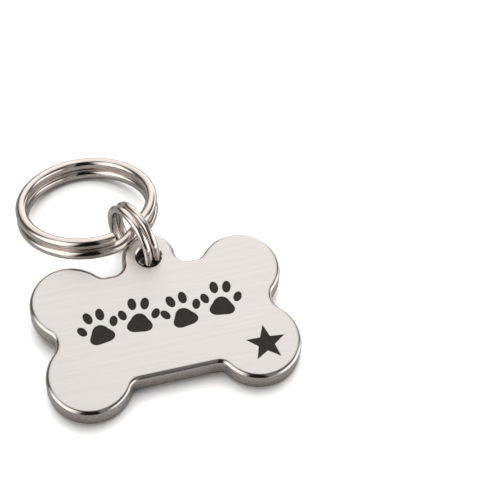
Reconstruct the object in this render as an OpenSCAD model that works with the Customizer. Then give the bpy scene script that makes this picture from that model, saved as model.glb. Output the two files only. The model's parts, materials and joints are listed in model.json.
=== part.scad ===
// Bone-shaped identity tag for a pet's collar, with its small and large split rings.
// It lies as it was put down: the small ring's wire runs under the tab and tips the plate a little.
// The plate is drawn flat, its front face at height 0, and then everything is laid on the floor.

/* [Plate] */
// Width over the two upper lobes
plate_w = 32; // [30:0.5:36]
// Thickness of the plate
plate_t = 3; // [2.6:0.1:3.2]
// Radius of the polished edge, front and back
edge_r = 0.65; // [0.4:0.05:0.7]
// Radius of each upper lobe
upper_lobe_r = 5.1; // [4.7:0.1:5.3]
// Radius of each lower lobe
lower_lobe_r = 5.35; // [5:0.05:5.6]
// How far each lower lobe's side stands in from the upper lobe's side
lower_lobe_inset = 0.05; // [0:0.05:0.6]
// Distance from the upper lobes' centres down to the lower lobes' centres
lobe_spacing = 10.4; // [10:0.1:11]
// Radius of the notch in each side
side_notch_r = 2.05; // [1.8:0.05:2.8]
// Distance from the middle of the plate down to its straight lower edge
lower_waist = 7.25; // [6.9:0.05:7.6]
// Radius that joins the straight lower edge to each lower lobe
lower_fillet_r = 1.25; // [1:0.05:1.6]

/* [Tab] */
// Distance from the middle of the plate up to the ring hole
hole_y = 9.45; // [9.2:0.05:10]
// Diameter of the ring hole
hole_d = 3.1; // [3:0.05:3.3]
// Chamfer round both ends of the ring hole
hole_chamfer = 0.2; // [0.1:0.05:0.25]
// Wall of the tab round the ring hole
tab_wall = 1.85; // [1.7:0.05:2]
// Distance from the middle of the plate up to the floor of each valley beside the tab
upper_waist = 7.85; // [7.4:0.05:8]
// Radius in the corners of each valley
valley_r = 1.5; // [1.2:0.05:1.7]

/* [Marks] */
// Depth of each mark's pocket
pocket_depth = 0.25; // [0.15:0.05:0.35]
// Distance that a mark's fill lies below the face
fill_recess = 0.05; // [0.02:0.01:0.1]
// Number of paw prints across the front
paw_count = 4; // [3:1:4]
// Height of a paw print
paw_h = 5.5; // [4.4:0.1:5.7]
// Distance from one paw print to the next
paw_pitch = 5.25; // [5.1:0.05:5.4]
// Angle that each paw print leans, to one side and the other in turn
paw_lean = 9; // [0:1:15]
// Distance that each paw print stands above or below its row
paw_step = 0.25; // [0:0.05:0.4]
// Place of the row of paw prints, from the middle of the plate
paw_row = [-0.4, 1.15]; // [-1.5:0.05:1.5]
// Radius of the star, to its points
star_r = 2.55; // [2:0.05:2.7]
// Place of the star, from the lower right lobe's centre
star_place = [0.75, -0.75]; // [-0.9:0.05:0.9]
// Angle that the star is turned clockwise
star_turn = 4; // [0:1:20]
// Height of a bar on the back
bar_h = 1.25; // [0.9:0.05:1.5]
// Distance from one row of bars to the next
bar_pitch = 2.45; // [2:0.05:2.6]
// Gap between bars in a row
bar_gap = 0.9; // [0.7:0.1:1.3]
// Height of the middle row of bars, from the middle of the plate
bar_row_y = -0.3; // [-0.8:0.05:0.4]

/* [Small ring] */
// Diameter of the small ring's wire
small_wire_d = 1; // [0.9:0.05:1.05]
// Outer diameter of the small ring
small_ring_od = 9.4; // [9.2:0.1:10]
// Angle from the tab's centre line to where the small ring points
small_ring_turn = 22; // [15:1:28]
// Angle that the small ring leans over
small_ring_lean = 4; // [0:0.5:5]

/* [Large ring] */
// Diameter of the large ring's wire
large_wire_d = 1.5; // [1.3:0.05:1.6]
// Outer diameter of the large ring
large_ring_od = 18.4; // [17:0.1:20]
// Angle round the large ring from its nearest point to where the small ring holds it
large_ring_turn = 34; // [28:1:38]

/* [Fits] */
// Gap between the two coils of a ring
coil_gap = 0.1; // [0.05:0.01:0.15]
// Gap between the small ring's wire and the tab that rests on it
seat_gap = 0.05; // [0.02:0.01:0.1]
// Gap between the small ring's wire and the far side of the hole, at the tab's face
bore_gap = 0.15; // [0.1:0.01:0.2]
// Height of the large ring's wire above the tab's face where it passes over the tab's edge
tab_gap = 0.3; // [0.2:0.05:0.45]

/* [Hidden] */

steel = "#d9d2cd";
nickel = "#c4beb8";
enamel = "#2d2926";

// Steps along each curve and round each edge
fillet_steps = 6;
lobe_steps = 24;
notch_steps = 8;
tab_steps = 11;
edge_steps = 4;
pad_steps = 28;
hole_fn = 64;
overrun = 0.5;

// Centres of the outline's arcs, right-hand side
hole_r = hole_d / 2;
tab_r = hole_r + tab_wall;
hole_at = [0, hole_y];
upper_at = [plate_w / 2 - upper_lobe_r, lobe_spacing / 2];
lower_at = [plate_w / 2 - lower_lobe_inset - lower_lobe_r, -lobe_spacing / 2];
notch_at = apex(upper_at, upper_lobe_r + side_notch_r, lower_at, lower_lobe_r + side_notch_r);
lower_fillet_at = beside(lower_at, lower_lobe_r, lower_fillet_r, -lower_waist - lower_fillet_r);
valley_lobe_at = beside(upper_at, upper_lobe_r, valley_r, upper_waist + valley_r);
valley_tab_at = [tab_r + valley_r, upper_waist + valley_r];

// The point at these distances from a and from b, on the left hand going from a to b
function apex(a, from_a, b, from_b) =
    let (apart = norm(b - a), along = (b - a) / apart, across = [-along[1], along[0]],
         u = (from_a ^ 2 - from_b ^ 2 + apart ^ 2) / (2 * apart))
    a + u * along + sqrt(from_a ^ 2 - u ^ 2) * across;

// Centre, at height y, of a circle of radius r that touches a lobe on its side towards the middle
function beside(lobe, lobe_r, r, y) = [lobe[0] - sqrt((lobe_r + r) ^ 2 - (y - lobe[1]) ^ 2), y];

function heading(from, to) = atan2(to[1] - from[1], to[0] - from[0]);

function arc(centre, r, from, to, steps) =
    [for (i = [0 : steps]) let (a = from + (to - from) * i / steps) centre + r * [cos(a), sin(a)]];

function but_last(list) = [for (i = [0 : len(list) - 2]) list[i]];

// Right half of the outline, from the straight lower edge up to the top of the tab, drawn in by inset
function half_outline(inset) = concat(
    but_last(arc(lower_fillet_at, lower_fillet_r + inset, 90, heading(lower_fillet_at, lower_at),
                 fillet_steps)),
    but_last(arc(lower_at, lower_lobe_r - inset, heading(lower_fillet_at, lower_at) - 180,
                 heading(lower_at, notch_at), lobe_steps)),
    but_last(arc(notch_at, side_notch_r + inset, heading(lower_at, notch_at) + 180,
                 heading(notch_at, upper_at), notch_steps)),
    but_last(arc(upper_at, upper_lobe_r - inset, heading(notch_at, upper_at) - 180,
                 heading(upper_at, valley_lobe_at), lobe_steps)),
    arc(valley_lobe_at, valley_r + inset, heading(valley_lobe_at, upper_at), -90, fillet_steps),
    arc(valley_tab_at, valley_r + inset, -90, -180, fillet_steps),
    arc(hole_at, tab_r - inset, 0, 90, tab_steps));

function outline(inset) =
    let (right = half_outline(inset))
    concat(right, [for (i = [len(right) - 2 : -1 : 0]) [-right[i][0], right[i][1]]]);

// Inset and height of each layer of the plate's skin. It runs round the front edge and then the back edge,
// and at both ends it goes on past the face, where the slab below cuts it off flat.
edge_turns = [for (i = [0 : edge_steps]) 90 * i / edge_steps];
edge_layers = concat(
    [[edge_r + overrun, overrun]],
    [for (turn = edge_turns) edge_r * [1 - sin(turn), cos(turn) - 1]],
    [for (turn = edge_turns) [edge_r * (1 - cos(turn)), -plate_t + edge_r * (1 - sin(turn))]],
    [[edge_r + overrun, -plate_t - overrun]]);

// Triangles that join layers of points, the next layer lying below the one before
function side_faces(layers, count) = concat(
    [for (k = [0 : layers - 2], i = [0 : count - 1])
        [k * count + i, k * count + (i + 1) % count, (k + 1) * count + (i + 1) % count]],
    [for (k = [0 : layers - 2], i = [0 : count - 1])
        [k * count + i, (k + 1) * count + (i + 1) % count, (k + 1) * count + i]]);

// Each end of the skin is closed by fans: one round the centre of each lobe, and one round the middle
fan_centres = [[0, 0], lower_at, upper_at, [-upper_at[0], upper_at[1]], [-lower_at[0], lower_at[1]]];
lower_lobe_from = fillet_steps;
upper_lobe_from = lower_lobe_from + lobe_steps + notch_steps;
half_count = len(half_outline(0));
outline_count = 2 * half_count - 1;

function right_fan(i) =
    i >= lower_lobe_from && i < lower_lobe_from + lobe_steps ? 1 :
    i >= upper_lobe_from && i < upper_lobe_from + lobe_steps ? 2 : 0;

// The fan that holds the outline's side from point i to the next point
function fan_at(i) =
    let (opposite = right_fan(outline_count - 2 - i))
    i < half_count - 1 ? right_fan(i) : opposite == 0 ? 0 : len(fan_centres) - opposite;

function fan_faces(first, first_centre) = concat(
    [for (i = [0 : outline_count - 1])
        [first_centre + fan_at(i), first + i, first + (i + 1) % outline_count]],
    [for (i = [1 : outline_count - 1]) if (fan_at(i - 1) != fan_at(i))
        [first_centre + fan_at(i - 1), first + i, first_centre + fan_at(i)]]);

function turned_over(faces) = [for (f = faces) [f[2], f[1], f[0]]];

module plate_skin() {
    rows = [for (layer = edge_layers) [for (p = outline(layer[0])) [p[0], p[1], layer[1]]]];
    skin_count = len(rows) * outline_count;
    front_centres = [for (p = fan_centres) [p[0], p[1], overrun]];
    back_centres = [for (p = fan_centres) [p[0], p[1], -plate_t - overrun]];
    polyhedron(
        concat([for (row = rows) each row], front_centres, back_centres),
        concat(side_faces(len(rows), outline_count),
               turned_over(fan_faces(0, skin_count)),
               fan_faces(skin_count - outline_count, skin_count + len(fan_centres))),
        convexity = 4);
}

module plate_blank() intersection() {
    plate_skin();
    translate([-plate_w, -plate_w, -plate_t]) cube([2 * plate_w, 2 * plate_w, plate_t]);
}

// The small ring stands over the tab's outer edge. Its wire runs up through the hole and under the tab.
// The hole holds it in two places: the tab's lower edge sits on the inside of the ring, and at the tab's
// face the outside of the ring passes the far side of the hole.
small_wire_r = small_wire_d / 2;
small_r = small_ring_od / 2 - small_wire_r;
small_offset = small_wire_r + coil_gap / 2;
ring_heading = [-sin(small_ring_turn), cos(small_ring_turn), 0];
hole_edge = sqrt(hole_r ^ 2 - small_offset ^ 2);
small_centre = apex([bore_gap - hole_edge, 0], small_r + small_wire_r,
                    [hole_edge, -plate_t - seat_gap], small_r - small_wire_r);
small_rise = small_centre[1];
small_at = [0, hole_y, small_rise] + small_centre[0] * ring_heading;
small_axis = [cos(small_ring_turn) * cos(small_ring_lean), sin(small_ring_turn) * cos(small_ring_lean),
              -sin(small_ring_lean)];

// The plate tips until its lower lobes and the small ring both touch the floor
toe_y = lobe_spacing / 2 + lower_lobe_r - edge_r;
function across_axis(t) = abs(small_axis[1] * sin(t) + small_axis[2] * cos(t));
function plate_low(t) = -toe_y * sin(t) - (plate_t - edge_r) * cos(t) - edge_r;
function ring_depth(t) = small_r * sqrt(1 - across_axis(t) ^ 2) + small_offset * across_axis(t) + small_wire_r;
function tip(t, rounds) = rounds <= 0 ? t :
    let (ring_below_toe = ring_depth(t) - (plate_t - edge_r + small_rise) * cos(t) - edge_r)
    tip(asin(ring_below_toe / (small_at[1] + toe_y)), rounds - 1);
tip_rounds = 12;
plate_tip = tip(0, tip_rounds);
plate_lift = -plate_low(plate_tip);

function tipped(p) = [p[0], p[1] * cos(plate_tip) - p[2] * sin(plate_tip),
                      p[1] * sin(plate_tip) + p[2] * cos(plate_tip) + plate_lift];

// The large ring's wire lies over the tab's outer edge, inside the small ring, just where it steps from one
// coil to the other, and the ring's far side is on the floor
large_wire_r = large_wire_d / 2;
large_r = large_ring_od / 2 - large_wire_r;
large_offset = large_wire_r + coil_gap / 2;
hold_at = tipped([0, hole_y, large_wire_r + tab_gap] + tab_r * ring_heading);
hold_reach = large_r * (1 + cos(large_ring_turn));
large_lean = asin((hold_at[2] - large_wire_r) / norm([hold_reach, large_offset]))
             - atan2(large_offset, hold_reach);
large_at = hold_at + large_r * [-sin(large_ring_turn), cos(large_ring_turn) * cos(large_lean),
                                -cos(large_ring_turn) * sin(large_lean)];

// The origin is on the floor, under the middle of the whole object's box
left_x = min(-plate_w / 2, large_at[0] - large_r - large_wire_r);
front_y = edge_r * sin(plate_tip) - toe_y * cos(plate_tip) - edge_r;
back_y = large_at[1] + large_r * cos(large_lean) + large_offset * sin(large_lean) + large_wire_r;
centre = [(left_x + plate_w / 2) / 2, (front_y + back_y) / 2, 0];

module on_floor() translate(-centre) children();

module on_plate() on_floor() translate([0, 0, plate_lift]) rotate([plate_tip, 0, 0]) children();

module tag_plate() {
    color(steel) on_plate() difference() {
        plate_blank();
        translate([hole_at[0], hole_at[1], -plate_t - overrun])
            cylinder(r = hole_r, h = plate_t + 2 * overrun, $fn = hole_fn);
        hole_rim(0, 1);
        hole_rim(-plate_t, -1);
        for (i = [1 : paw_count]) front_pocket() paw_shape(i);
        front_pocket() star_shape();
        for (i = [1 : len(bar_shares)]) back_pocket() bar_row(i);
    }
}

// Chamfer at one end of the hole, cut by a cone that runs on past the face
module hole_rim(z, way) {
    translate([hole_at[0], hole_at[1], z - way * hole_chamfer]) mirror([0, 0, way < 0 ? 1 : 0])
        cylinder(r1 = hole_r, r2 = hole_r + hole_chamfer + overrun, h = hole_chamfer + overrun, $fn = hole_fn);
}

// Pockets and the dark fills that lie in them
module front_pocket() translate([0, 0, -pocket_depth]) linear_extrude(pocket_depth + overrun) children();

module front_fill() translate([0, 0, -pocket_depth]) linear_extrude(pocket_depth - fill_recess) children();

module back_pocket() translate([0, 0, -plate_t - overrun]) linear_extrude(pocket_depth + overrun) children();

module back_fill() translate([0, 0, -plate_t + fill_recess])
    linear_extrude(pocket_depth - fill_recess) children();

// A paw print's pads as shares of its height: place, half width, half height, and lean of each toe
palm_place_shares = [0, -0.22];
palm_size_shares = [0.275, 0.235];
toe_shares = [[-0.375, 0.02, 0.092, 0.135, 24], [-0.145, 0.29, 0.1, 0.155, 7],
              [0.145, 0.29, 0.1, 0.155, -7], [0.375, 0.02, 0.092, 0.135, -24]];
// How far the palm pad swells into three rounded corners
palm_corner_share = 0.13;

function oval(place, half, lean) =
    [for (i = [0 : pad_steps - 1])
        let (a = 360 * i / pad_steps, x = half[0] * cos(a), y = half[1] * sin(a))
        place + [x * cos(lean) - y * sin(lean), x * sin(lean) + y * cos(lean)]];

function palm(place, half) =
    [for (i = [0 : pad_steps - 1])
        let (a = 360 * i / pad_steps, swell = 1 - palm_corner_share * sin(3 * a))
        place + swell * [half[0] * cos(a), half[1] * sin(a)]];

module paw_shape(i) {
    side = i % 2 == 0 ? 1 : -1;
    translate(paw_row + [(i - (paw_count + 1) / 2) * paw_pitch, side * paw_step]) rotate(-side * paw_lean) {
        polygon(palm(paw_h * palm_place_shares, paw_h * palm_size_shares));
        for (t = toe_shares)
            polygon(oval(paw_h * [t[0], t[1]], paw_h * [t[2], t[3]], t[4]));
    }
}

// Distance from the star's centre to its inner corners, as a share of its radius
star_corner_share = 0.42;

module star_shape() {
    translate(lower_at + star_place) rotate(90 - star_turn)
        polygon([for (i = [0 : 9]) star_r * (i % 2 == 0 ? 1 : star_corner_share) * [cos(36 * i), sin(36 * i)]]);
}

// Lengths of the bars in each row on the back, as shares of the plate's width
bar_shares = [[0.17, 0.24], [0.12, 0.15, 0.18], [0.29, 0.15], [0.31], [0.16, 0.2]];

function sum(list, upto) = upto == 0 ? 0 : list[upto - 1] + sum(list, upto - 1);

module bar_row(i) {
    lengths = plate_w * bar_shares[i - 1];
    row_w = sum(lengths, len(lengths)) + (len(lengths) - 1) * bar_gap;
    y = bar_row_y + ((len(bar_shares) + 1) / 2 - i) * bar_pitch;
    for (k = [0 : len(lengths) - 1])
        translate([sum(lengths, k) + k * bar_gap - row_w / 2, y]) bar(lengths[k]);
}

module bar(length) {
    r = bar_h / 2;
    polygon(concat(arc([length - r, 0], r, -90, 90, fillet_steps), arc([r, 0], r, 90, 270, fillet_steps)));
}

module paw_print(i) {
    if (i <= paw_count) color(enamel) on_plate() front_fill() paw_shape(i);
}

module star_fill() {
    color(enamel) on_plate() front_fill() star_shape();
}

module back_line(i) {
    color(enamel) on_plate() back_fill() bar_row(i);
}

// A split ring is one wire of two turns. It runs round the lower coil, steps up over the jog,
// and runs round the upper coil, so that its two cut ends lie above and below the jog's ends.
wire_sides = 12;
small_steps = 30;
large_steps = 44;
small_jog = 60;
large_jog = 38;

function ease(x) = x <= 0 ? 0 : x >= 1 ? 1 : x * x * (3 - 2 * x);

function coil_height(a, jog, offset) = offset * (2 * ease((a - 360 + jog / 2) / jog) - 1);

function wire_angles(jog, steps) =
    let (sweep = 720 - jog, count = 2 * steps)
    [for (i = [0 : count]) jog / 2 + sweep * i / count];

function end_faces(layers, count) =
    [[for (i = [count - 1 : -1 : 0]) i], [for (i = [0 : count - 1]) (layers - 1) * count + i]];

module split_ring(r, wire_r, offset, jog, steps) {
    angles = wire_angles(jog, steps);
    points = [for (a = angles, k = [0 : wire_sides - 1])
        let (b = 360 * (k + 0.5) / wire_sides, out = r + wire_r * cos(b))
        [out * cos(a), out * sin(a), coil_height(a, jog, offset) + wire_r * sin(b)]];
    polyhedron(points, concat(side_faces(len(angles), wire_sides), end_faces(len(angles), wire_sides)),
               convexity = 6);
}

// Least distance between the wire's two turns, measured on the points of their centre lines
function least_gap(r, wire_r, offset, jog, steps) =
    let (angles = wire_angles(jog, steps),
         line = [for (a = angles) [r * cos(a), r * sin(a), coil_height(a, jog, offset)]])
    min([for (i = [0 : steps - 1], k = [i + steps - 1 : len(line) - 1]) norm(line[k] - line[i])]) - 2 * wire_r;
echo(str("least gap in the small ring, mm: ",
         least_gap(small_r, small_wire_r, small_offset, small_jog, small_steps)));
echo(str("least gap in the large ring, mm: ",
         least_gap(large_r, large_wire_r, large_offset, large_jog, large_steps)));

// Angle round each ring at which its jog lies
small_jog_at = -98;
large_jog_at = -90 + large_ring_turn;

module small_split_ring() {
    color(nickel) on_plate() translate(small_at)
        rotate([0, 90 + small_ring_lean, small_ring_turn]) rotate(90 + small_jog_at)
            split_ring(small_r, small_wire_r, small_offset, small_jog, small_steps);
}

module large_split_ring() {
    color(nickel) on_floor() translate(large_at) rotate([-large_lean, 0, 0]) rotate(large_jog_at)
        split_ring(large_r, large_wire_r, large_offset, large_jog, large_steps);
}

tag_plate();
paw_print(1);  // paw_print_1
paw_print(2);  // paw_print_2
paw_print(3);  // paw_print_3
paw_print(4);  // paw_print_4
star_fill();
back_line(1);  // back_line_1
back_line(2);  // back_line_2
back_line(3);  // back_line_3
back_line(4);  // back_line_4
back_line(5);  // back_line_5
small_split_ring();
large_split_ring();
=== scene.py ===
# %% [markdown]
# # A bone-shaped pet tag on its two split rings
#
# The real object is three pieces of metal: a thick steel plate cut to the outline of a bone, a small
# split ring through the hole in its tab, and a large split ring that takes the collar. Marks cut into
# both faces are filled with matt black enamel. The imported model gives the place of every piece; this
# lesson gives them the smooth curves and the finishes of the real ones.

# %% Load the fixed frame
import json
import math

import bmesh
import bpy
from mathutils import Matrix, Vector
from mathutils.geometry import delaunay_2d_cdt


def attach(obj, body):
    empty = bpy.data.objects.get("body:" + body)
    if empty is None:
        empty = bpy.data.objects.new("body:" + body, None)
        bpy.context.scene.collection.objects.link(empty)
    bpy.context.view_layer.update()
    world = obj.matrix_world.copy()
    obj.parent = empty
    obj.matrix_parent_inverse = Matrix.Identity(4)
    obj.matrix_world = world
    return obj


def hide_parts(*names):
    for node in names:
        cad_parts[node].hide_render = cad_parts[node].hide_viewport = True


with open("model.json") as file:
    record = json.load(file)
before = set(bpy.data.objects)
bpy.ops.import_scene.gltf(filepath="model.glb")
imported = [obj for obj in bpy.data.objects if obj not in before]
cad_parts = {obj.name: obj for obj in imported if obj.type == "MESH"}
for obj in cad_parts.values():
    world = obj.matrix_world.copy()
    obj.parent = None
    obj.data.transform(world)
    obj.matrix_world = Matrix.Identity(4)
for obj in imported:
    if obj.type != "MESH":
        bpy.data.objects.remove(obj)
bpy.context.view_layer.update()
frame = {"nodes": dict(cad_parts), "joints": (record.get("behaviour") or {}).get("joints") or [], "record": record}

print("pieces in the frame:", ", ".join(sorted(frame["nodes"])))

# %% [markdown]
# ## The sizes, and where the plate lies
#
# The sizes are the ones the plate is cut to, in millimetres. The plate is drawn flat, with its front
# face at height 0, and then carried to where it lies. Where that is comes from the frame: the small
# ring's hinge stands in the middle of the tab's hole and points straight up out of the plate's face.

# %% Sizes of the plate in millimetres
PLATE_W, PLATE_T, EDGE_R = 32.0, 3.0, 0.65
UPPER_LOBE_R, LOWER_LOBE_R, LOWER_LOBE_INSET, LOBE_SPACING = 5.1, 5.35, 0.05, 10.4
SIDE_NOTCH_R, LOWER_WAIST, LOWER_FILLET_R = 2.05, 7.25, 1.25
HOLE_Y, HOLE_D, HOLE_CHAMFER, TAB_WALL = 9.45, 3.1, 0.2, 1.85
UPPER_WAIST, VALLEY_R = 7.85, 1.5
POCKET_DEPTH, FILL_RECESS = 0.25, 0.05

HOLE_R = HOLE_D / 2
TAB_R = HOLE_R + TAB_WALL
HOLE_AT = Vector((0, HOLE_Y))
UPPER_AT = Vector((PLATE_W / 2 - UPPER_LOBE_R, LOBE_SPACING / 2))
LOWER_AT = Vector((PLATE_W / 2 - LOWER_LOBE_INSET - LOWER_LOBE_R, -LOBE_SPACING / 2))

# %% Carry a flat drawing of the plate to where the plate lies
joints = {joint["name"]: joint for joint in frame["joints"]}
HOLE_MIDDLE = Vector(joints["small_ring_swing"]["pos_m"])
FACE_UP = Vector(joints["small_ring_swing"]["axis"]).normalized()
MM = 0.001


def standing_at(origin, x_axis, z_axis):
    """The matrix that carries millimetres to the place with this origin (in metres), x axis and z axis."""
    x, z = x_axis.normalized(), z_axis.normalized()
    y = z.cross(x)
    turned = Matrix((x, y, z)).transposed().to_4x4()
    return Matrix.Translation(origin) @ turned @ Matrix.Scale(MM, 4)


ALONG = Vector((1, 0, 0))
ACROSS = FACE_UP.cross(ALONG)
ON_PLATE = standing_at(HOLE_MIDDLE + MM * (PLATE_T / 2 * FACE_UP - HOLE_Y * ACROSS), ALONG, FACE_UP)
print("the plate is tipped by", round(math.degrees(ACROSS.angle(Vector((0, 1, 0)))), 2), "degrees")

# %% [markdown]
# ## The camera
#
# The camera looks down from in front, a little from the left, through a long lens, so that the bone
# hardly narrows towards the back. It was fitted to the outline of the bone in the photograph.

# %% Place the camera
CAMERA_AT_MM = (-19.73, -105.999, 161.332)
LOOKING = Vector((0.16981, 0.5455, -0.82073))
CAMERA_UP = Vector((0.19495, 0.79776, 0.57058))
LENS_MM = 108
camera = bpy.data.objects.new("photo_camera", bpy.data.cameras.new("photo_camera"))
camera.data.lens = LENS_MM
camera.data.clip_start = 0.01
bpy.context.scene.collection.objects.link(camera)
camera.matrix_world = Matrix.Translation(Vector(CAMERA_AT_MM) * MM) @ Matrix((
    LOOKING.cross(CAMERA_UP), CAMERA_UP, -LOOKING)).transposed().to_4x4()
bpy.context.scene.camera = camera
bpy.context.scene.view_settings.view_transform = "Standard"
print("camera", [round(c, 1) for c in CAMERA_AT_MM], "mm, lens", LENS_MM, "mm")

# %% [markdown]
# ## Node helpers
#
# Every finish here is a small graph of nodes. These helpers add a node, set its values and join it in
# one call, so that a finish reads as a recipe.


# %% Helpers for shader nodes
def add_node(tree, kind, links=None, **values):
    """Adds a node, sets its properties and input values, and joins the inputs named in links."""
    node = tree.nodes.new(kind)
    for name, value in values.items():
        setattr(node, name, value)
    for name, value in (links or {}).items():
        socket = node.inputs[name]
        if isinstance(value, bpy.types.NodeSocket):
            tree.links.new(value, socket)
        else:
            socket.default_value = value
    return node


def math_node(tree, operation, *values):
    return add_node(tree, "ShaderNodeMath", dict(enumerate(values)), operation=operation).outputs[0]


def smooth_range(tree, value, low, high, to_low=0.0, to_high=1.0):
    """Eases from to_low to to_high as value goes from low to high."""
    node = add_node(tree, "ShaderNodeMapRange", {
        "Value": value, "From Min": low, "From Max": high, "To Min": to_low, "To Max": to_high},
        interpolation_type="SMOOTHSTEP")
    return node.outputs["Result"]


def stretched_noise(tree, scale, detail=2.0, roughness=0.5):
    """Noise on the piece's own coordinates. scale is the number of grains in a metre along x, y and z."""
    place = add_node(tree, "ShaderNodeTexCoord").outputs["Object"]
    mapped = add_node(tree, "ShaderNodeMapping", {"Vector": place, "Scale": scale}).outputs[0]
    return add_node(tree, "ShaderNodeTexNoise", {
        "Vector": mapped, "Scale": 1.0, "Detail": detail, "Roughness": roughness}).outputs["Fac"]


NOISE_LOW, NOISE_HIGH = 0.3, 0.7


def over_noise(tree, noise, low, high):
    """Goes from low to high over the middle of the noise's range, where nearly all of it lies."""
    return smooth_range(tree, noise, NOISE_LOW, NOISE_HIGH, low, high)


def bend_surface(tree, shader, height, strength, depth):
    """Shades the surface as if it rose and fell by depth metres with the height."""
    bump = add_node(tree, "ShaderNodeBump", {"Height": height, "Strength": strength, "Distance": depth})
    tree.links.new(bump.outputs[0], shader.inputs["Normal"])


def new_material(name):
    material = bpy.data.materials.new(name)
    material.use_nodes = True
    tree = material.node_tree
    return material, tree, tree.nodes["Principled BSDF"]


# %% [markdown]
# ## The finishes of the plate
#
# The two faces are brushed along the bone: thousands of hair-fine scratches, a few millimetres long.
# One noise stretched 60 times longer than it is wide makes them. It bends the surface a little and
# changes how rough it is. A second, broader noise gives the faint bands that the eye sees from a step
# away. Scratches too fine to draw still smear every reflection across the bone. The shader's anisotropy
# does that, along a tangent that points across the plate. A fifth of the light is scattered instead of
# mirrored, so the face never goes quite black. The rounded edges are polished, so they keep sharp
# reflections and look darker than the face. The wall between them is satin. The drilled hole is dull,
# and its steel is painted far darker than the rest: painted shade that stands in for the shadow inside
# the hole.

# %% Brushed faces
FACE_STEEL = (0.664, 0.639, 0.619, 1)
EDGE_STEEL = (0.70, 0.66, 0.63, 1)
WALL_STEEL = (0.90, 0.82, 0.77, 1)
# The bore's steel is painted far darker than the face: painted shade standing in for the shadow inside the hole.
BORE_STEEL_PAINTED_SHADE = (0.15, 0.13, 0.115, 1)
SCRATCH_DEPTH, GRAIN_DEPTH = 0.000004, 0.00001
SCRATCHES_PER_M, BANDS_PER_M, SCRATCH_SHARE = (180, 11000, 11000), (60, 1800, 1800), 0.6


def tinted(tree, colour, noise, low, high):
    """The colour, made darker or lighter by the noise."""
    shade = over_noise(tree, noise, low, high)
    colours = {"Factor": 1.0, 6: colour, 7: shade}
    return add_node(tree, "ShaderNodeMix", colours, data_type="RGBA", blend_type="MULTIPLY").outputs[2]


def brushed_face():
    material, tree, shader = new_material("brushed_face")
    scratches = stretched_noise(tree, SCRATCHES_PER_M, detail=3.0, roughness=0.6)
    bands = stretched_noise(tree, BANDS_PER_M)
    both = math_node(tree, "MULTIPLY_ADD", scratches, SCRATCH_SHARE,
                     math_node(tree, "MULTIPLY", bands, 1 - SCRATCH_SHARE))
    across = add_node(tree, "ShaderNodeVectorTransform", {0: (0, 1, 0)}, vector_type="VECTOR",
                      convert_from="OBJECT", convert_to="WORLD").outputs[0]
    tree.links.new(across, shader.inputs["Tangent"])
    shader.inputs["Metallic"].default_value = 0.8
    shader.inputs["Anisotropic"].default_value = 0.75
    tree.links.new(tinted(tree, FACE_STEEL, both, 0.935, 1.035), shader.inputs["Base Color"])
    tree.links.new(over_noise(tree, both, 0.28, 0.35), shader.inputs["Roughness"])
    bend_surface(tree, shader, both, 0.25, SCRATCH_DEPTH)
    return material


def polished_edge():
    material, tree, shader = new_material("polished_edge")
    marks = stretched_noise(tree, (900, 900, 900), detail=3.0)
    shader.inputs["Metallic"].default_value = 1.0
    shader.inputs["Base Color"].default_value = EDGE_STEEL
    tree.links.new(over_noise(tree, marks, 0.10, 0.16), shader.inputs["Roughness"])
    return material


def satin_wall():
    material, tree, shader = new_material("satin_wall")
    grain = stretched_noise(tree, (1500, 1500, 9000), detail=3.0)
    shader.inputs["Metallic"].default_value = 1.0
    tree.links.new(tinted(tree, WALL_STEEL, grain, 0.95, 1.04), shader.inputs["Base Color"])
    tree.links.new(over_noise(tree, grain, 0.26, 0.34), shader.inputs["Roughness"])
    bend_surface(tree, shader, grain, 0.15, SCRATCH_DEPTH)
    return material


def bore_with_painted_shade():
    material, tree, shader = new_material("bore_with_painted_shade")
    rings = stretched_noise(tree, (700, 700, 12000), detail=2.0)
    shader.inputs["Metallic"].default_value = 1.0
    # Painted shade: the bore's dark colour stands in for the shadow inside the hole.
    tree.links.new(tinted(tree, BORE_STEEL_PAINTED_SHADE, rings, 0.85, 1.1), shader.inputs["Base Color"])
    shader.inputs["Roughness"].default_value = 0.42
    return material


FACE, EDGE, WALL, BORE = range(4)
plate_finishes = [brushed_face(), polished_edge(), satin_wall(), bore_with_painted_shade()]
print("finishes of the plate:", ", ".join(m.name for m in plate_finishes))

# %% [markdown]
# ## The outline of the bone
#
# The bone is all arcs: four lobes, a notch in each side, and small fillets where the tab and the
# straight lower edge meet the lobes. An arc that touches two others needs no measuring, because its
# centre follows from their centres and radii. Drawing the outline in by a distance makes the round
# lobes smaller and the hollow fillets larger by that distance, and this gives every layer of the
# rounded edge.


# %% Draw the outline
# Points nearer than this, in millimetres, are one point
SAME_POINT = 1e-4


def arc(centre, radius, start, end, step=math.radians(4)):
    """Points on an arc from one angle to another, both included."""
    count = max(2, math.ceil(abs(end - start) / step))
    angles = [start + (end - start) * i / count for i in range(count + 1)]
    return [Vector((centre[0] + radius * math.cos(a), centre[1] + radius * math.sin(a))) for a in angles]


def heading(start, end):
    return math.atan2(end[1] - start[1], end[0] - start[0])


def apex(a, from_a, b, from_b):
    """The point at these distances from a and from b, on the left hand going from a to b."""
    apart = (b - a).length
    along = (b - a) / apart
    u = (from_a ** 2 - from_b ** 2 + apart ** 2) / (2 * apart)
    return a + u * along + math.sqrt(from_a ** 2 - u ** 2) * Vector((-along[1], along[0]))


def beside(lobe, lobe_radius, radius, y):
    """The centre, at height y, of a circle that touches a lobe on its side towards the middle."""
    return Vector((lobe[0] - math.sqrt((lobe_radius + radius) ** 2 - (y - lobe[1]) ** 2), y))


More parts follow.
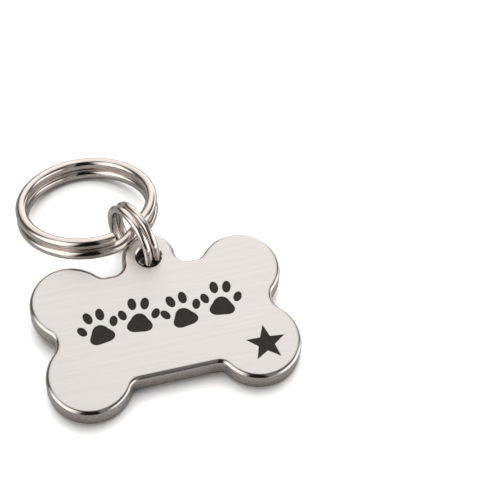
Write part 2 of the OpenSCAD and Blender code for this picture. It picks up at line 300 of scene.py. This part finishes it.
NOTCH_AT = apex(UPPER_AT, UPPER_LOBE_R + SIDE_NOTCH_R, LOWER_AT, LOWER_LOBE_R + SIDE_NOTCH_R)
LOWER_FILLET_AT = beside(LOWER_AT, LOWER_LOBE_R, LOWER_FILLET_R, -LOWER_WAIST - LOWER_FILLET_R)
VALLEY_LOBE_AT = beside(UPPER_AT, UPPER_LOBE_R, VALLEY_R, UPPER_WAIST + VALLEY_R)
VALLEY_TAB_AT = Vector((TAB_R + VALLEY_R, UPPER_WAIST + VALLEY_R))


def outline(inset):
    """The bone's outline, anticlockwise from the straight lower edge, drawn in by inset millimetres."""
    pi = math.pi
    right = [
        arc(LOWER_FILLET_AT, LOWER_FILLET_R + inset, pi / 2, heading(LOWER_FILLET_AT, LOWER_AT)),
        arc(LOWER_AT, LOWER_LOBE_R - inset, heading(LOWER_FILLET_AT, LOWER_AT) - pi,
            heading(LOWER_AT, NOTCH_AT)),
        arc(NOTCH_AT, SIDE_NOTCH_R + inset, heading(LOWER_AT, NOTCH_AT) + pi, heading(NOTCH_AT, UPPER_AT)),
        arc(UPPER_AT, UPPER_LOBE_R - inset, heading(NOTCH_AT, UPPER_AT) - pi,
            heading(UPPER_AT, VALLEY_LOBE_AT)),
        arc(VALLEY_LOBE_AT, VALLEY_R + inset, heading(VALLEY_LOBE_AT, UPPER_AT), -pi / 2),
        arc(VALLEY_TAB_AT, VALLEY_R + inset, -pi / 2, -pi),
        arc(HOLE_AT, TAB_R - inset, 0, pi / 2)]
    half = [right[0][0]]
    for points in right:
        half += [p for p in points if (p - half[-1]).length > SAME_POINT]
    return half + [Vector((-p[0], p[1])) for p in reversed(half[:-1])]


print("points round the outline:", len(outline(0)), "and drawn in:", len(outline(EDGE_R)))

# %% [markdown]
# ## The marks
#
# The front carries a row of four paw prints, each leaning the other way from the one before, and a
# plain star in the corner. The back carries five rows of bars where an owner's details would go. Each
# mark is a closed outline. It is used twice: once to cut its pocket in the plate, and once for the
# enamel that fills it.

# %% Outlines of the marks
PAW_COUNT, PAW_H, PAW_PITCH, PAW_LEAN, PAW_STEP = 4, 5.5, 5.25, math.radians(9), 0.25
PAW_ROW = Vector((-0.4, 1.15))
PALM_PLACE, PALM_SIZE, PALM_CORNER = Vector((0, -0.22)), (0.275, 0.235), 0.13
TOES = ((-0.375, 0.02, 0.092, 0.135, 24), (-0.145, 0.29, 0.1, 0.155, 7),
        (0.145, 0.29, 0.1, 0.155, -7), (0.375, 0.02, 0.092, 0.135, -24))
PAD_STEPS = 56
BAR_END_STEP = math.radians(12)
STAR_POINTS, STAR_R, STAR_CORNER = 5, 2.55, 0.42
STAR_PLACE, STAR_TURN = Vector((0.75, -0.75)), math.radians(4)
BAR_H, BAR_PITCH, BAR_GAP, BAR_ROW_Y = 1.25, 2.45, 0.9, -0.3
BAR_SHARES = ((0.17, 0.24), (0.12, 0.15, 0.18), (0.29, 0.15), (0.31,), (0.16, 0.2))


def turned(point, angle):
    c, s = math.cos(angle), math.sin(angle)
    return Vector((point[0] * c - point[1] * s, point[0] * s + point[1] * c))


def paw_print(number):
    """The outlines of the palm pad and the four toe pads of one paw print."""
    side = 1 if number % 2 == 0 else -1
    place = PAW_ROW + Vector(((number - (PAW_COUNT + 1) / 2) * PAW_PITCH, side * PAW_STEP))
    angles = [2 * math.pi * i / PAD_STEPS for i in range(PAD_STEPS)]
    pads = [[PAW_H * (PALM_PLACE + (1 - PALM_CORNER * math.sin(3 * a))
                      * Vector((PALM_SIZE[0] * math.cos(a), PALM_SIZE[1] * math.sin(a)))) for a in angles]]
    for x, y, half_w, half_h, lean in TOES:
        pads.append([PAW_H * (Vector((x, y)) + turned((half_w * math.cos(a), half_h * math.sin(a)),
                                                      math.radians(lean))) for a in angles])
    return [[place + turned(p, -side * PAW_LEAN) for p in pad] for pad in pads]


def star():
    """The outline of the star, its first point up."""
    points = []
    for i in range(2 * STAR_POINTS):
        radius = STAR_R * (1 if i % 2 == 0 else STAR_CORNER)
        angle = math.pi / 2 - STAR_TURN + i * math.pi / STAR_POINTS
        points.append(LOWER_AT + STAR_PLACE + turned((radius, 0), angle))
    return [points]


def back_line(number):
    """The outlines of the bars in one row on the back."""
    lengths = [PLATE_W * share for share in BAR_SHARES[number - 1]]
    x = -(sum(lengths) + (len(lengths) - 1) * BAR_GAP) / 2
    y = BAR_ROW_Y + ((len(BAR_SHARES) + 1) / 2 - number) * BAR_PITCH
    r, bars = BAR_H / 2, []
    for length in lengths:
        bars.append(arc((x + length - r, y), r, -math.pi / 2, math.pi / 2, BAR_END_STEP)
                    + arc((x + r, y), r, math.pi / 2, 3 * math.pi / 2, BAR_END_STEP))
        x += length + BAR_GAP
    return bars


front_marks = {f"paw_print_{n}": paw_print(n) for n in range(1, PAW_COUNT + 1)}
front_marks["star_fill"] = star()
back_marks = {f"back_line_{n}": back_line(n) for n in range(1, len(BAR_SHARES) + 1)}
print("outlines on the front:", sum(len(m) for m in front_marks.values()),
      "and on the back:", sum(len(m) for m in back_marks.values()))

# %% [markdown]
# ## The plate
#
# The plate is one closed mesh. Its skin is the outline repeated in layers: a flat rim on the front
# face, eight steps round the front edge, the wall, eight steps round the back edge, and the rim of the
# back face. Each flat face then has to be filled round the hole and the pockets. Blender's constrained
# triangulation does this: it keeps every outline as an edge, and each triangle is put on the face or on
# a pocket's floor by where its middle lies. The flat rim keeps the bend of the rounded edge out of the
# large flat triangles.


# %% Fill a flat face round its pockets
# What the triangulation is asked to give, and how close together it takes two points for one, in millimetres
TRIANGLES, SAME_CORNER = 1, 1e-7


def inside(point, loop):
    """Whether a point is inside a closed outline."""
    crossings = False
    for a, b in zip(loop, loop[1:] + loop[:1]):
        if (a[1] > point[1]) != (b[1] > point[1]):
            if point[0] < a[0] + (b[0] - a[0]) * (point[1] - a[1]) / (b[1] - a[1]):
                crossings = not crossings
    return crossings


def middle_of(flat):
    return sum(flat, Vector((0, 0))) / len(flat)


def triangles_inside(rim, *others):
    """Triangles that fill the first outline and keep every side of all the outlines as an edge."""
    points = [p for loop in (rim, *others) for p in loop]
    edges, first = [], 0
    for loop in (rim, *others):
        edges += [(first + i, first + (i + 1) % len(loop)) for i in range(len(loop))]
        first += len(loop)
    places, _, triangles, *_ = delaunay_2d_cdt(points, edges, [], TRIANGLES, SAME_CORNER, True)
    corners = [[places[i] for i in triangle] for triangle in triangles]
    return [flat for flat in corners if inside(middle_of(flat), rim)]


def filled_face(rim, hole, pockets):
    """Triangles between the outlines, each with the number of its pocket, or -1 on the face itself."""
    kept = []
    for flat in triangles_inside(rim, hole, *pockets):
        middle = middle_of(flat)
        if not inside(middle, hole):
            kept.append((flat, next((n for n, loop in enumerate(pockets) if inside(middle, loop)), -1)))
    return kept


# %% Build the plate
EDGE_STEPS = 8
FACE_RIM = 0.25
HOLE_STEPS = 96
SHARP_FROM, WIRE_SHARP_FROM = math.radians(30), math.radians(40)


def skin_layers():
    """Inset and height of each layer of the plate's skin, from the front face to the back face."""
    turns = [math.pi / 2 * i / EDGE_STEPS for i in range(EDGE_STEPS + 1)]
    front_edge = [(EDGE_R * (1 - math.sin(t)), -EDGE_R * (1 - math.cos(t))) for t in turns]
    back_edge = [(EDGE_R * (1 - math.cos(t)), -PLATE_T + EDGE_R * (1 - math.sin(t))) for t in turns]
    return [(EDGE_R + FACE_RIM, 0), *front_edge, *back_edge, (EDGE_R + FACE_RIM, -PLATE_T)]


# The finish of the skin between each layer and the next
SKIN_FINISHES = [FACE, *EDGE_STEPS * [EDGE], WALL, *EDGE_STEPS * [EDGE], FACE]


class Welder:
    """Adds faces by their corners' places, and joins corners that lie at the same place."""

    def __init__(self):
        self.mesh = bmesh.new()
        self.corners = {}

    def corner(self, x, y, z):
        key = (round(x, 5), round(y, 5), round(z, 5))
        if key not in self.corners:
            self.corners[key] = self.mesh.verts.new((x, y, z))
        return self.corners[key]

    def face(self, points, finish=0):
        corners = [self.corner(*p) for p in points]
        if len(set(corners)) == len(corners):
            face = self.mesh.faces.new(corners)
            face.material_index = finish
            face.smooth = True

    def strip(self, upper, upper_z, lower, lower_z, finish=0):
        """Joins an outline to one below it that has as many points."""
        assert len(upper) == len(lower), (len(upper), len(lower))
        for i in range(len(upper)):
            k = (i + 1) % len(upper)
            self.face([(*upper[i], upper_z), (*lower[i], lower_z), (*lower[k], lower_z),
                       (*upper[k], upper_z)], finish)

    def finish_as(self, name, matrix, materials):
        mesh = bpy.data.meshes.new(name)
        self.mesh.to_mesh(mesh)
        self.mesh.free()
        mesh.transform(matrix)
        for material in materials:
            mesh.materials.append(material)
        mesh.set_sharp_from_angle(angle=SHARP_FROM)
        piece = bpy.data.objects.new(name, mesh)
        bpy.context.scene.collection.objects.link(piece)
        return piece


def circle(centre, radius, steps):
    angles = [2 * math.pi * i / steps for i in range(steps)]
    return [Vector((centre[0] + radius * math.cos(a), centre[1] + radius * math.sin(a))) for a in angles]


def build_plate():
    welder = Welder()
    layers = skin_layers()
    for (inset, z), (next_inset, next_z), finish in zip(layers, layers[1:], SKIN_FINISHES):
        welder.strip(outline(inset), z, outline(next_inset), next_z, finish)
    rim = outline(EDGE_R + FACE_RIM)
    mouth = circle(HOLE_AT, HOLE_R + HOLE_CHAMFER, HOLE_STEPS)
    bore = circle(HOLE_AT, HOLE_R, HOLE_STEPS)
    # inward is the way from the face into the steel. It also says which way round each face is drawn.
    for z, inward, marks in ((0, -1, front_marks), (-PLATE_T, 1, back_marks)):
        pockets = [loop for loops in marks.values() for loop in loops]
        floor_z = z + inward * POCKET_DEPTH
        for triangle, pocket in filled_face(rim, mouth, pockets):
            corners = [(*p, z if pocket < 0 else floor_z) for p in triangle]
            welder.face(corners[::-inward], FACE)
        for loop in pockets:
            welder.strip(loop[::inward], z, loop[::inward], floor_z, WALL)
        welder.strip(mouth[::inward], z, bore[::inward], z + inward * HOLE_CHAMFER, EDGE)
    welder.strip(bore[::-1], -HOLE_CHAMFER, bore[::-1], -PLATE_T + HOLE_CHAMFER, BORE)
    return welder.finish_as("bone_plate", ON_PLATE, plate_finishes)


plate = build_plate()
bm = bmesh.new()
bm.from_mesh(plate.data)
open_edges = sum(1 for e in bm.edges if len(e.link_faces) != 2)
plate_volume = bm.calc_volume() / MM ** 3
print("plate:", len(bm.faces), "faces, open edges:", open_edges, "volume, mm3:", round(plate_volume, 1))
bm.free()
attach(plate, "tag")
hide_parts("tag_plate")

# %% [markdown]
# ## The enamel in the marks
#
# The real fill is a matt black enamel, wiped level and baked, so it sits a hair below the face and
# shows a faint grain. Each mark is its own piece of enamel: a slab with the mark's outline, as deep as
# its pocket.


# %% Fill the marks
ENAMEL_BLACK = (0.018, 0.0155, 0.0135, 1)


def black_enamel():
    material, tree, shader = new_material("black_enamel")
    grain = stretched_noise(tree, (2600, 2600, 2600), detail=4.0, roughness=0.65)
    tree.links.new(tinted(tree, ENAMEL_BLACK, grain, 0.7, 1.35), shader.inputs["Base Color"])
    tree.links.new(over_noise(tree, grain, 0.62, 0.8), shader.inputs["Roughness"])
    shader.inputs["Specular IOR Level"].default_value = 0.15
    bend_surface(tree, shader, grain, 0.3, GRAIN_DEPTH)
    return material


enamel = black_enamel()


def build_fill(name, loops, shown_z, hidden_z):
    """One mark's enamel, from the level that shows to the floor of its pocket."""
    welder = Welder()
    top, bottom = max(shown_z, hidden_z), min(shown_z, hidden_z)
    for loop in loops:
        for flat in triangles_inside(loop):
            welder.face([(*p, top) for p in flat])
            welder.face([(*p, bottom) for p in reversed(flat)])
        welder.strip(loop, top, loop, bottom)
    piece = welder.finish_as(name + "_enamel", ON_PLATE, [enamel])
    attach(piece, "tag")
    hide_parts(name)


for name, loops in front_marks.items():
    build_fill(name, loops, -FILL_RECESS, -POCKET_DEPTH)
for name, loops in back_marks.items():
    build_fill(name, loops, -PLATE_T + FILL_RECESS, -PLATE_T + POCKET_DEPTH)
print("enamel pieces:", len(front_marks) + len(back_marks))

# %% [markdown]
# ## The split rings
#
# A split ring is one length of spring wire wound twice round. It runs round the lower coil, steps up
# over a short jog, and runs round the upper coil, and its two cut ends lie above and below the jog. A
# wire that follows a path is work for Geometry Nodes: a line of points is bent to the path by a
# formula, its radius is drawn in at the two ends so that the cuts are rounded, and Curve to Mesh sweeps
# a circle along it. The tree has the ring's sizes as inputs, so one tree makes both rings.


# %% Polished nickel for the wire
NICKEL = (0.80, 0.735, 0.685, 1)


def polished_wire():
    material, tree, shader = new_material("polished_wire")
    marks = stretched_noise(tree, (1400, 1400, 1400), detail=4.0)
    shader.inputs["Metallic"].default_value = 1.0
    tree.links.new(tinted(tree, NICKEL, marks, 0.97, 1.01), shader.inputs["Base Color"])
    tree.links.new(over_noise(tree, marks, 0.05, 0.10), shader.inputs["Roughness"])
    bend_surface(tree, shader, marks, 0.06, GRAIN_DEPTH)
    return material


nickel_wire = polished_wire()


# %% A tree of nodes that winds a split ring
WHOLE_TURN = 2 * math.pi
WIRE_SIDES = 32
# How far each cut end is rounded, as a share of the wire's radius
END_ROUND_SHARE = 0.3


def geometry_tree(name, inputs):
    """An empty tree of geometry nodes with these inputs and one mesh as its output."""
    tree = bpy.data.node_groups.new(name, "GeometryNodeTree")
    tree.interface.new_socket("Geometry", in_out="OUTPUT", socket_type="NodeSocketGeometry")
    for label, kind in inputs:
        tree.interface.new_socket(label, in_out="INPUT", socket_type=kind)
    return tree


def split_ring_tree():
    tree = geometry_tree("split_ring", [
        ("Ring Radius", "NodeSocketFloat"), ("Wire Radius", "NodeSocketFloat"),
        ("Coil Offset", "NodeSocketFloat"), ("Jog Angle", "NodeSocketFloat"), ("Steps", "NodeSocketInt"),
        ("Material", "NodeSocketMaterial")])
    size = tree.nodes.new("NodeGroupInput").outputs

    def calc(operation, *values):
        return math_node(tree, operation, *values)

    line = add_node(tree, "GeometryNodeCurvePrimitiveLine", {"End": (1, 0, 0)}).outputs[0]
    points = add_node(tree, "GeometryNodeResampleCurve", {"Curve": line, "Count": size["Steps"]}).outputs[0]
    share = tree.nodes.new("GeometryNodeSplineParameter").outputs["Factor"]
    half_jog = calc("MULTIPLY", size["Jog Angle"], 0.5)
    wound = calc("SUBTRACT", 2 * WHOLE_TURN, size["Jog Angle"])
    angle = calc("MULTIPLY_ADD", share, wound, half_jog)
    jog_start = calc("SUBTRACT", WHOLE_TURN, half_jog)
    jog_end = calc("ADD", WHOLE_TURN, half_jog)
    low = calc("MULTIPLY", size["Coil Offset"], -1.0)
    height = smooth_range(tree, angle, jog_start, jog_end, low, size["Coil Offset"])
    x = calc("MULTIPLY", size["Ring Radius"], calc("COSINE", angle))
    y = calc("MULTIPLY", size["Ring Radius"], calc("SINE", angle))
    place = add_node(tree, "ShaderNodeCombineXYZ", {0: x, 1: y, 2: height}).outputs[0]
    wire = add_node(tree, "GeometryNodeSetPosition", {"Geometry": points, "Position": place}).outputs[0]

    length = calc("MULTIPLY", wound, size["Ring Radius"])
    from_end = calc("MULTIPLY", calc("MINIMUM", share, calc("SUBTRACT", 1.0, share)), length)
    rounding = calc("MULTIPLY", size["Wire Radius"], END_ROUND_SHARE)
    into_round = calc("MINIMUM", calc("DIVIDE", from_end, rounding), 1.0)
    drop = calc("SUBTRACT", 1.0, into_round)
    curve_in = calc("SQRT", calc("SUBTRACT", 1.0, calc("MULTIPLY", drop, drop)))
    thickness = calc("MULTIPLY_ADD", curve_in, END_ROUND_SHARE, 1 - END_ROUND_SHARE)
    thick = calc("MULTIPLY", thickness, size["Wire Radius"])
    profile = add_node(tree, "GeometryNodeCurvePrimitiveCircle", {
        "Resolution": WIRE_SIDES, "Radius": 1.0}).outputs[0]
    swept = add_node(tree, "GeometryNodeCurveToMesh", {
        "Curve": wire, "Profile Curve": profile, "Scale": thick, "Fill Caps": True}).outputs[0]
    smooth = add_node(tree, "GeometryNodeSetShadeSmooth", {"Geometry": swept}).outputs[0]
    real = add_node(tree, "GeometryNodeRealizeInstances", {"Geometry": smooth}).outputs[0]
    done = add_node(tree, "GeometryNodeSetMaterial", {
        "Geometry": real, "Material": size["Material"]}).outputs[0]
    add_node(tree, "NodeGroupOutput", {"Geometry": done})
    return tree


ring_tree = split_ring_tree()
print("nodes in the ring's tree:", len(ring_tree.nodes))


# %% Wind a ring and lay it in its place
def made_by(tree, name, sizes, place):
    """The mesh that a tree of geometry nodes makes with these sizes, carried to its place."""
    source = bpy.data.objects.new(name + "_source", bpy.data.meshes.new(name + "_source"))
    bpy.context.scene.collection.objects.link(source)
    modifier = source.modifiers.new(name, "NODES")
    modifier.node_group = tree
    for item in tree.interface.items_tree:
        if item.in_out == "INPUT":
            modifier[item.identifier] = sizes[item.name]
    evaluated = source.evaluated_get(bpy.context.evaluated_depsgraph_get())
    mesh = bpy.data.meshes.new_from_object(evaluated)
    mesh.name = name
    mesh.transform(place)
    piece = bpy.data.objects.new(name, mesh)
    bpy.context.scene.collection.objects.link(piece)
    bpy.data.objects.remove(source)
    return piece


def wind_ring(name, node, body, wire_d, outer_d, jog, steps, place):
    radius = outer_d / 2 - wire_d / 2
    ring = made_by(ring_tree, name, {
        "Ring Radius": radius, "Wire Radius": wire_d / 2, "Coil Offset": wire_d / 2 + COIL_GAP / 2,
        "Jog Angle": math.radians(jog), "Steps": steps, "Material": nickel_wire}, place)
    ring.data.set_sharp_from_angle(angle=WIRE_SHARP_FROM)
    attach(ring, body)
    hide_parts(node)
    print(name, "has", len(ring.data.polygons), "faces")


# Sizes in millimetres. How wide a ring's jog is and where it is are in degrees, and so is LARGE_RING_TURN.
COIL_GAP, SEAT_GAP, BORE_GAP = 0.1, 0.05, 0.15
SMALL_WIRE_D, SMALL_RING_OD, SMALL_JOG, SMALL_JOG_AT, SMALL_STEPS = 1.0, 9.4, 60, -98, 400
SMALL_RING_TURN, SMALL_RING_LEAN = math.radians(22), math.radians(4)
LARGE_WIRE_D, LARGE_RING_OD, LARGE_JOG, LARGE_RING_TURN, LARGE_STEPS = 1.5, 18.4, 38, 34, 600
LARGE_JOG_AT = -90 + LARGE_RING_TURN

small_r = SMALL_RING_OD / 2 - SMALL_WIRE_D / 2
hole_edge = math.sqrt(HOLE_R ** 2 - (SMALL_WIRE_D / 2 + COIL_GAP / 2) ** 2)
small_out, small_up = apex(Vector((BORE_GAP - hole_edge, 0)), small_r + SMALL_WIRE_D / 2,
                           Vector((hole_edge, -PLATE_T - SEAT_GAP)), small_r - SMALL_WIRE_D / 2)
small_place = (ON_PLATE @ Matrix.Translation((-small_out * math.sin(SMALL_RING_TURN),
                                              HOLE_Y + small_out * math.cos(SMALL_RING_TURN), small_up))
               @ Matrix.Rotation(SMALL_RING_TURN, 4, "Z")
               @ Matrix.Rotation(math.pi / 2 + SMALL_RING_LEAN, 4, "Y")
               @ Matrix.Rotation(math.radians(90 + SMALL_JOG_AT), 4, "Z"))
wind_ring("small_ring_wire", "small_split_ring", "small_ring", SMALL_WIRE_D, SMALL_RING_OD, SMALL_JOG,
          SMALL_STEPS, small_place)

collar = next(m for m in frame["record"]["mounts"] if m["name"] == "collar_ring")
large_place = (standing_at(Vector(collar["pos_m"]), ALONG, Vector(collar["axis"]))
               @ Matrix.Rotation(math.radians(LARGE_JOG_AT), 4, "Z"))
wind_ring("large_ring_wire", "large_split_ring", "large_ring", LARGE_WIRE_D, LARGE_RING_OD, LARGE_JOG,
          LARGE_STEPS, large_place)

# %% [markdown]
# ## The table and the light
#
# Metal shows what is round it, so the light is as much a part of its look as the finish is. The
# polished edge of the plate is a small mirror that runs round every side, and in the photograph it
# shows the studio: a pale cloth overhead and behind, a tall softbox on the left, a low one on the
# right, a faint screen beside the camera, and a dark room between them and behind the camera. Here the
# world is that studio. The dark gaps draw the thin black lines along the edges and the wires, and the
# softboxes draw the white ones.
#
# The photograph's background is plain white, whiter than a table that a mirror shows. So the table is
# white to the camera and grey in reflections: a little lighter close by, and pale on the right, where
# a painted pool of light from the low softbox lies on it. The lamp that lights it is left out of
# reflections too. A small painted shadow, a dark spot on the table, lies where the camera looks through
# the hole, because the photograph is dark there.

# %% Lay the table
FLOOR_HALF = 1.5
# The second value is the dark of a painted shadow on the table under the hole.
TABLE_SEEN, PAINTED_SHADOW_SEEN = 0.9, 0.05
# The third of these is painted light: in reflections the table is made pale on the right, where the low softbox
# shines.
MIRRORED_NEAR, MIRRORED_FAR, MIRRORED_PAINTED_LIGHT = 0.24, 0.17, 0.85
# Distances in metres over which one shade of the table eases into the next
NEAR_TO_FAR, FAR_TO_RIGHT, PAINTED_SHADOW_BORDER = (0.021, 0.034), (0.016, 0.026), (0.001, 0.0015)
# Where the painted shadow lies on the table, under the hole, in metres
PAINTED_SHADOW_AT = (0.0003, 0.0024, 0)


def white_table():
    material, tree, shader = new_material("white_table")
    place = add_node(tree, "ShaderNodeTexCoord").outputs["Object"]
    distance = add_node(tree, "ShaderNodeVectorMath", {0: place}, operation="LENGTH").outputs["Value"]
    sideways = add_node(tree, "ShaderNodeSeparateXYZ", {0: place}).outputs[0]
    # Painted light: the mirrored table grows pale towards the right, under the low softbox.
    far = smooth_range(tree, sideways, *FAR_TO_RIGHT, MIRRORED_FAR, MIRRORED_PAINTED_LIGHT)
    mirrored = smooth_range(tree, distance, *NEAR_TO_FAR, MIRRORED_NEAR, far)
    # Painted shadow: a dark spot on the table under the hole, seen only through it
    to_painted_shadow = add_node(tree, "ShaderNodeVectorMath", {0: place, 1: PAINTED_SHADOW_AT}, operation="DISTANCE")
    plain = smooth_range(tree, to_painted_shadow.outputs["Value"], *PAINTED_SHADOW_BORDER, PAINTED_SHADOW_SEEN, TABLE_SEEN)
    seen = add_node(tree, "ShaderNodeLightPath").outputs["Is Camera Ray"]
    shade = smooth_range(tree, seen, 0.0, 1.0, mirrored, plain)
    tree.links.new(shade, shader.inputs["Base Color"])
    shader.inputs["Roughness"].default_value = 0.9
    shader.inputs["Specular IOR Level"].default_value = 0.0
    return material


table_mesh = bpy.data.meshes.new("table")
corners = [(FLOOR_HALF * x, FLOOR_HALF * y, 0) for x, y in ((-1, -1), (1, -1), (1, 1), (-1, 1))]
table_mesh.from_pydata(corners, [], [(0, 1, 2, 3)])
table_mesh.materials.append(white_table())
table = bpy.data.objects.new("table", table_mesh)
bpy.context.scene.collection.objects.link(table)
print("table of", 2 * FLOOR_HALF, "m")


# %% Hang the studio round it
# Each softbox: compass angle of its middle, half its width, and its soft border, in degrees clockwise from
# the back of the table; then the heights where it begins to end and ends, as the sine of the elevation;
# then its brightness. The dark gap behind the camera has the same three angles. The cloth is a wide round
# patch: the direction of its middle, and the angles from there at which it ends and begins to end.
SOFTBOXES = ((-108, 18, 26, 0.84, 0.92, 1.4), (118, 18, 26, 0.42, 0.68, 1.4), (20, 13, 16, 0.97, 0.99, 1.2),
             (160, 7, 10, 0.90, 0.98, 0.26))
CAMERA_GAP = (-168, 12, 18)
CLOTH_TOWARDS, CLOTH_ENDS, CLOTH_FULL = (0.16, 0.64, 0.75), 54, 26
ROOM, CAMERA_SIDE, CLOTH = 0.11, 0.008, 1.06
ROOM_TINT = (1.0, 0.985, 0.97, 1)
LAMP_AT, LAMP_SIZE, LAMP_POWER = (0.1, 0.28, 0.5), 0.9, 7.5


def studio_world():
    world = bpy.data.worlds.new("studio")
    world.use_nodes = True
    tree = world.node_tree
    tree.nodes.clear()
    towards = add_node(tree, "ShaderNodeTexCoord").outputs["Generated"]
    parts = add_node(tree, "ShaderNodeSeparateXYZ", {0: towards}).outputs
    level = add_node(tree, "ShaderNodeCombineXYZ", {0: parts[0], 1: parts[1]}).outputs[0]
    compass = add_node(tree, "ShaderNodeVectorMath", {0: level}, operation="NORMALIZE").outputs[0]

    def near_direction(direction, middle, ends, full, at_full=1.0):
        """Full up to so many degrees from a direction, easing to 0 where it ends."""
        cosine = add_node(tree, "ShaderNodeVectorMath", {0: direction, 1: middle}, operation="DOT_PRODUCT")
        return smooth_range(tree, cosine.outputs["Value"], math.cos(math.radians(ends)),
                            math.cos(math.radians(full)), 0.0, at_full)

    def facing(angle, half_width, border):
        """1 within half_width of a compass angle, easing to 0 over the border."""
        a = math.radians(angle)
        return near_direction(compass, (math.sin(a), math.cos(a), 0), half_width + border, half_width)

    behind_camera = facing(*CAMERA_GAP)
    light = smooth_range(tree, behind_camera, 0.0, 1.0, ROOM, CAMERA_SIDE)
    for angle, half_width, border, full_up_to, ends_at, brightness in SOFTBOXES:
        below_top = smooth_range(tree, parts[2], full_up_to, ends_at, brightness, 0.0)
        box = math_node(tree, "MULTIPLY", facing(angle, half_width, border), below_top)
        light = math_node(tree, "MAXIMUM", light, box)
    cloth = near_direction(towards, CLOTH_TOWARDS, CLOTH_ENDS, CLOTH_FULL, CLOTH)
    light = math_node(tree, "MAXIMUM", light, cloth)

    seen = add_node(tree, "ShaderNodeLightPath").outputs["Is Camera Ray"]
    studio = add_node(tree, "ShaderNodeBackground", {"Color": ROOM_TINT, "Strength": light})
    plain = add_node(tree, "ShaderNodeBackground", {"Color": (1, 1, 1, 1), "Strength": 1.0})
    mix = add_node(tree, "ShaderNodeMixShader", {0: seen, 1: studio.outputs[0], 2: plain.outputs[0]})
    add_node(tree, "ShaderNodeOutputWorld", {"Surface": mix.outputs[0]})
    bpy.context.scene.world = world


def soft_lamp(name, place, size, power):
    """A round lamp, aimed at the tag, that lights matt things and isn't mirrored in polished ones."""
    lamp = bpy.data.lights.new(name, "AREA")
    lamp.shape = "DISK"
    lamp.size = size
    lamp.energy = power
    holder = bpy.data.objects.new(name, lamp)
    bpy.context.scene.collection.objects.link(holder)
    aim = (-Vector(place)).to_track_quat("-Z", "Y").to_matrix().to_4x4()
    holder.matrix_world = Matrix.Translation(place) @ aim
    holder.visible_glossy = False


studio_world()
soft_lamp("overhead_lamp", LAMP_AT, LAMP_SIZE, LAMP_POWER)
print("studio hung")
